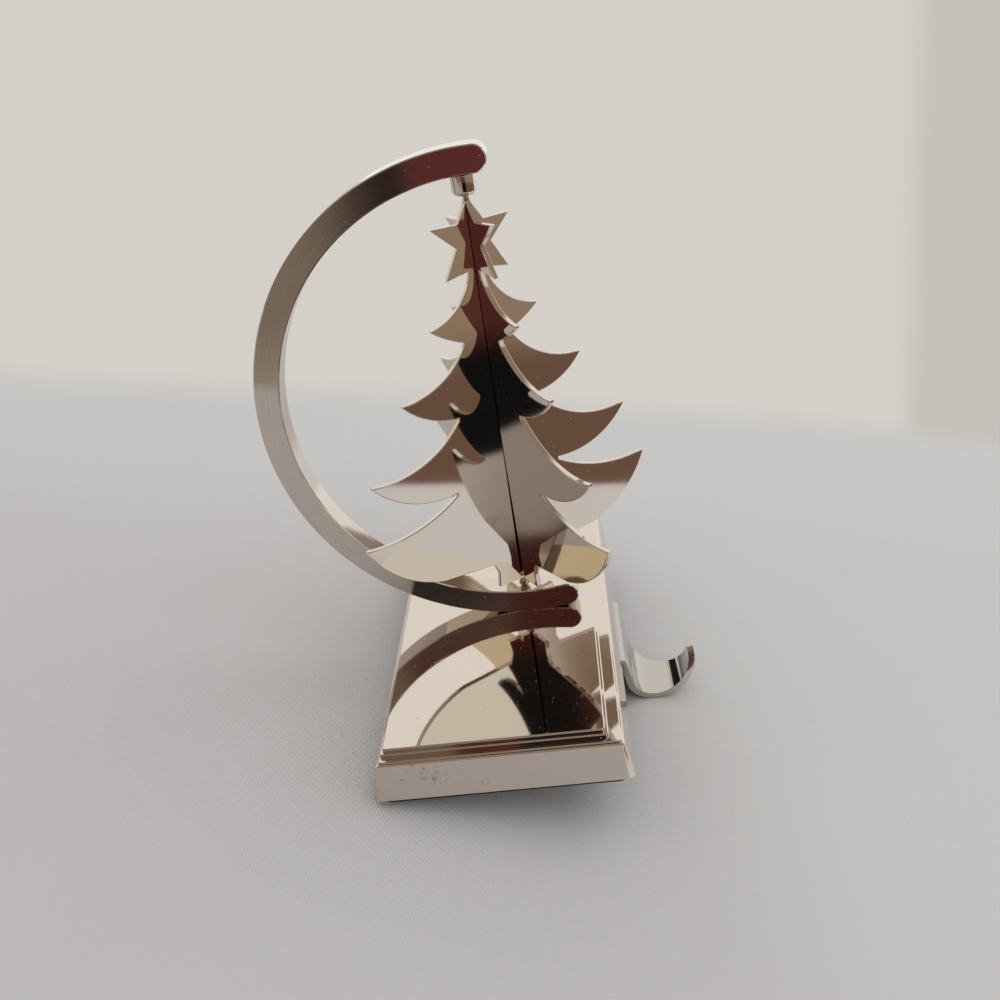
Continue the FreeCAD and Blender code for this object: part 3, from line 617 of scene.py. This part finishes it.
def cloth_beyond_rise(tree, x, y):
    """How far a point of the floor belongs to the backdrop that the camera sees."""
    line = add_node(tree, "ShaderNodeMapRange", None,
                    {"Value": x, "From Min": RISE_LEFT[0], "From Max": RISE_RIGHT[0],
                     "To Min": RISE_LEFT[1], "To Max": RISE_RIGHT[1]}).outputs["Result"]
    past_line = calculate(tree, "SUBTRACT", y, line)
    behind = smooth_step(tree, past_line, -RISE_SOFTNESS / 2, RISE_SOFTNESS / 2)
    return calculate(tree, "MAXIMUM", behind, smooth_step(tree, distance(tree, x, y), *FADE))


def cloth_out_of_mirror(tree, x, y):
    """1 where the plating sees the room instead of the cloth."""
    from_left = smooth_step(tree, x, *FRONT_EDGE_STEP_X)
    edge = scale_to(tree, from_left, LEFT_FRONT_EDGE_Y, FRONT_EDGE_Y)
    past_front = smooth_step(tree, calculate(tree, "SUBTRACT", y, edge),
                             FRONT_EDGE_SOFTNESS / 2, -FRONT_EDGE_SOFTNESS / 2)
    slanted = calculate(tree, "MULTIPLY_ADD", y, -RIGHT_EDGE_SLANT, x)
    past_right = smooth_step(tree, slanted, RIGHT_EDGE_X - RIGHT_EDGE_SOFTNESS / 2,
                             RIGHT_EDGE_X + RIGHT_EDGE_SOFTNESS / 2)
    return calculate(tree, "MAXIMUM", past_front, past_right)


print("in the plating the cloth ends %.0f mm in front of the holder's middle" % (-FRONT_EDGE_Y / MM))

# %% [markdown]
# ### Cloth finish, with painted light and shade
# Light and shade on the cloth are painted into its colour: large soft areas behind the holder and to
# its right are painted lit, and the rest is painted in shade. A slow noise breaks up the border
# between the two. In what the plating mirrors, the cloth to the right is painted brighter still, as a
# painted pool of sunlight. The finish mixes a transparent shader in wherever the cloth ends.

# %% Finish the cloth and paint its light and shade
# Painted light and shade: the cloth's colour painted in shade, painted lit, and painted sunlit for the
# plating.
SHADED_CLOTH = colour(198, 195, 194)
LIT_CLOTH = colour(207, 205, 203)
SUNLIT_CLOTH = colour(250, 253, 255)
LIGHT_BEHIND_Y = (0.02, 0.14)
LIGHT_RIGHT_X = (0.02, 0.075)
LIGHT_RIGHT_SLANT = 0.2
LIGHT_RIGHT_SHARE = 0.75
BORDER_SCALE = 9.0
BORDER_STRENGTH = 0.25
SUN_X = (0.03, 0.09)
SUN_SHARE = 0.7
CLOTH_ROUGHNESS = 0.9
CLOTH_SHINE = 0.1
FUZZ_SCALE = 1500.0
THREAD_HEIGHT = 0.40
CLOTH_RELIEF = 0.10 * MM


# Painted light and shade in the cloth's colour, and a painted pool of sunlight for the plating.
def cloth_painted_light(tree, x, y, coordinates, to_plating):
    behind = smooth_step(tree, y, *LIGHT_BEHIND_Y)
    right = smooth_step(tree, calculate(tree, "MULTIPLY_ADD", y, LIGHT_RIGHT_SLANT, x), *LIGHT_RIGHT_X)
    light = calculate(tree, "MAXIMUM", behind, calculate(tree, "MULTIPLY", right, LIGHT_RIGHT_SHARE))
    border = scale_to(tree, noise(tree, coordinates, BORDER_SCALE, 2.0), -BORDER_STRENGTH, BORDER_STRENGTH)
    shade = mix_colours(tree, calculate(tree, "ADD", light, border), SHADED_CLOTH, LIT_CLOTH)
    sunlit = calculate(tree, "MULTIPLY", smooth_step(tree, x, *SUN_X), to_plating)
    return mix_colours(tree, calculate(tree, "MULTIPLY", sunlit, SUN_SHARE), shade, SUNLIT_CLOTH)


def cloth_material():
    material, tree, shader, coordinates = new_material("cloth")
    x, y, _ = axes_of(tree, add_node(tree, "ShaderNodeNewGeometry").outputs["Position"])
    path = add_node(tree, "ShaderNodeLightPath").outputs
    shade = cloth_painted_light(tree, x, y, coordinates, path["Is Glossy Ray"])
    tree.links.new(shade, shader.inputs["Base Color"])
    shader.inputs["Roughness"].default_value = CLOTH_ROUGHNESS
    shader.inputs["Specular IOR Level"].default_value = CLOTH_SHINE
    fuzz = noise(tree, coordinates, FUZZ_SCALE, 2.0)
    height = calculate(tree, "MULTIPLY_ADD", cloth_threads(tree, x, y), THREAD_HEIGHT, fuzz)
    raise_surface(tree, shader, height, CLOTH_RELIEF)
    for_camera = calculate(tree, "MULTIPLY", cloth_beyond_rise(tree, x, y), path["Is Camera Ray"])
    for_mirror = calculate(tree, "MULTIPLY", cloth_out_of_mirror(tree, x, y), path["Is Glossy Ray"])
    gone = calculate(tree, "MAXIMUM", for_camera, for_mirror)
    clear = add_node(tree, "ShaderNodeBsdfTransparent")
    choice = add_node(tree, "ShaderNodeMixShader", None,
                      {0: gone, 1: shader.outputs[0], 2: clear.outputs[0]})
    output = [item for item in tree.nodes if item.type == "OUTPUT_MATERIAL"][0]
    tree.links.new(choice.outputs[0], output.inputs["Surface"])
    return material


cloth.data.materials.append(cloth_material())
print("cloth finished with", len(cloth.data.materials[0].node_tree.nodes), "nodes")

# %% [markdown]
# ## Room
# Mirror plating shows the room and hardly any colour of its own. A photographed room can't be
# copied, but its large patches can be painted on the world: white cloth behind the holder, tan walls
# and a brown floor at the sides, and a deep red corner with dark openings above and below it in
# front. Each patch is a soft-edged window of bearing and elevation, and a later one covers those
# before it.

# %% List the patches of the room
# Bearing is measured from -Y towards +X, and both angles are in degrees.
OVERHEAD = colour(158, 142, 126)
WINDOW_LIGHT = (1.15, 1.28, 1.28, 1.0)
PATCHES = [
    # name, bearing from, to, elevation from, to, softness, colour
    ("white cloth, right", 112, 200, -30, 56, 10, colour(255, 255, 250)),
    ("white cloth, left", -200, -128, -30, 56, 10, colour(255, 255, 250)),
    ("yellow wall", -128, -98, -10, 50, 8, colour(246, 238, 208)),
    ("left wall", -98, -7, -20, 50, 6, colour(140, 128, 116)),
    ("left floor", -98, -8, -60, -16, 3, colour(158, 149, 138)),
    ("right wall", 24, 60, -40, 30, 6, colour(163, 144, 122)),
    ("right pale wall", 60, 84, -8, 34, 6, colour(230, 227, 220)),
    ("right floor", 24, 112, -60, -18, 3, colour(120, 95, 80)),
    ("window", 43, 57, 20, 48, 6, WINDOW_LIGHT),
    ("dark gap", -12, -6, -18, 20, 4, colour(76, 62, 58)),
    ("deep red corner", -7.4, 24, -60, 18, 3, colour(114, 69, 67)),
    ("dark line", -9.8, -7.8, -18, 20, 1.0, colour(46, 40, 40)),
    ("deep red, left", -7.3, -3, -18, 14, 1.2, colour(104, 54, 53)),
    ("pale gap", -8, 24, 18, 28.4, 1, colour(215, 223, 232)),
    ("deep red, middle", -3, 9, 16, 28.4, 1, colour(100, 56, 54)),
    ("deep red, high", -6.3, 24, 28.4, 35, 1, colour(88, 47, 48)),
    ("deep red edge", -13, -4.5, 33, 44, 2, colour(98, 62, 58)),
    ("dark below", -9, 26, -60, -17.5, 2, colour(26, 28, 31)),
    ("dark opening", -6.0, 26, 34.5, 43, 1.5, colour(34, 38, 42)),
    ("grey edge", -45, -6.3, 24, 32.5, 1.5, colour(58, 60, 63)),
]
print("the room has", len(PATCHES), "patches")

# %% [markdown]
# ### Backdrop with painted shade, and even light
# The camera sees a plain pale backdrop instead of the room, with painted shade: a little darker to
# the right, where the real cloth turns away from the light, and soft painted blotches of shade from
# its folds. The diffuse light is a plain grey, so that the painted room colours nothing but the
# plating. Light Path tells the three kinds of ray apart.

# %% Paint the room
BACKDROP = colour(213, 208, 202)
# Painted shade on the backdrop, to the right and in soft blotches from the folds.
BACKDROP_SHADE = colour(196, 191, 185)
SHADE_BEARING = (18.0, 60.0)
SHADE_SOFTNESS = 2.5
DRAPE_SHADE_SCALE = 3.0
DRAPE_SHADE_STRENGTH = 0.12
WORLD_LIGHT = 0.84


def painted_patches(tree, x, y, z):
    front = calculate(tree, "MULTIPLY", y, -1.0)
    bearing = calculate(tree, "DEGREES", calculate(tree, "ARCTAN2", x, front))
    elevation = calculate(tree, "DEGREES", calculate(tree, "ARCSINE", z))
    shown = OVERHEAD
    for name, left, right, low, high, soft, shade in PATCHES:
        share = calculate(tree, "MULTIPLY", between(tree, bearing, left, right, soft),
                          between(tree, elevation, low, high, soft))
        shown = mix_colours(tree, share, shown, shade)
        shown.node.label = name
    return shown


# The backdrop's colour with painted shade: darker to the right, and in soft blotches from the folds.
def backdrop_with_painted_shade(tree, look, x, y):
    behind = calculate(tree, "DEGREES", calculate(tree, "ARCTAN2", x, y))
    shaded = between(tree, behind, *SHADE_BEARING, SHADE_SOFTNESS)
    drape = noise(tree, look, DRAPE_SHADE_SCALE, 2.0)
    share = calculate(tree, "MULTIPLY_ADD", drape, DRAPE_SHADE_STRENGTH, shaded)
    return mix_colours(tree, share, BACKDROP, BACKDROP_SHADE)


def background(tree, shade, strength=1.0):
    made = add_node(tree, "ShaderNodeBackground", None, {"Color": shade, "Strength": strength})
    return made.outputs[0]


def paint_room():
    world = bpy.data.worlds.new("room")
    scene.world = world
    world.use_nodes = True
    tree = world.node_tree
    tree.nodes.clear()
    look = add_node(tree, "ShaderNodeTexCoord").outputs["Generated"]
    x, y, z = axes_of(tree, look)
    room = background(tree, painted_patches(tree, x, y, z))
    light = background(tree, (1, 1, 1, 1), WORLD_LIGHT)
    backdrop = background(tree, backdrop_with_painted_shade(tree, look, x, y))
    path = add_node(tree, "ShaderNodeLightPath").outputs
    mirrored = add_node(tree, "ShaderNodeMixShader", None,
                        {0: path["Is Glossy Ray"], 1: light, 2: room}).outputs[0]
    seen = add_node(tree, "ShaderNodeMixShader", None,
                    {0: path["Is Camera Ray"], 1: mirrored, 2: backdrop}).outputs[0]
    add_node(tree, "ShaderNodeOutputWorld", None, {"Surface": seen})
    return world


world = paint_room()
print("world painted with", len(world.node_tree.nodes), "nodes")

# %% [markdown]
# ## Lamps
# The light in the photograph is daylight from behind and from the right, so soft that the holder has
# hardly a shadow: a large area lamp there, on top of the world's even light. The plating doesn't see
# the lamp, because the painted room already has its window.

# %% Hang the lamp
LAMP_PLACE = (0.9, 0.6, 1.1)
LAMP_SIZE = 0.9
LAMP_WATTS = 2.5

lamp_data = bpy.data.lights.new("window", "AREA")
lamp_data.size = LAMP_SIZE
lamp_data.energy = LAMP_WATTS
lamp = bpy.data.objects.new("window", lamp_data)
scene.collection.objects.link(lamp)
lamp.location = LAMP_PLACE
lamp.rotation_euler = (-Vector(LAMP_PLACE)).to_track_quat("-Z", "Y").to_euler()
lamp.visible_glossy = False
print("lamp of %.1f W at %s m" % (LAMP_WATTS, LAMP_PLACE))
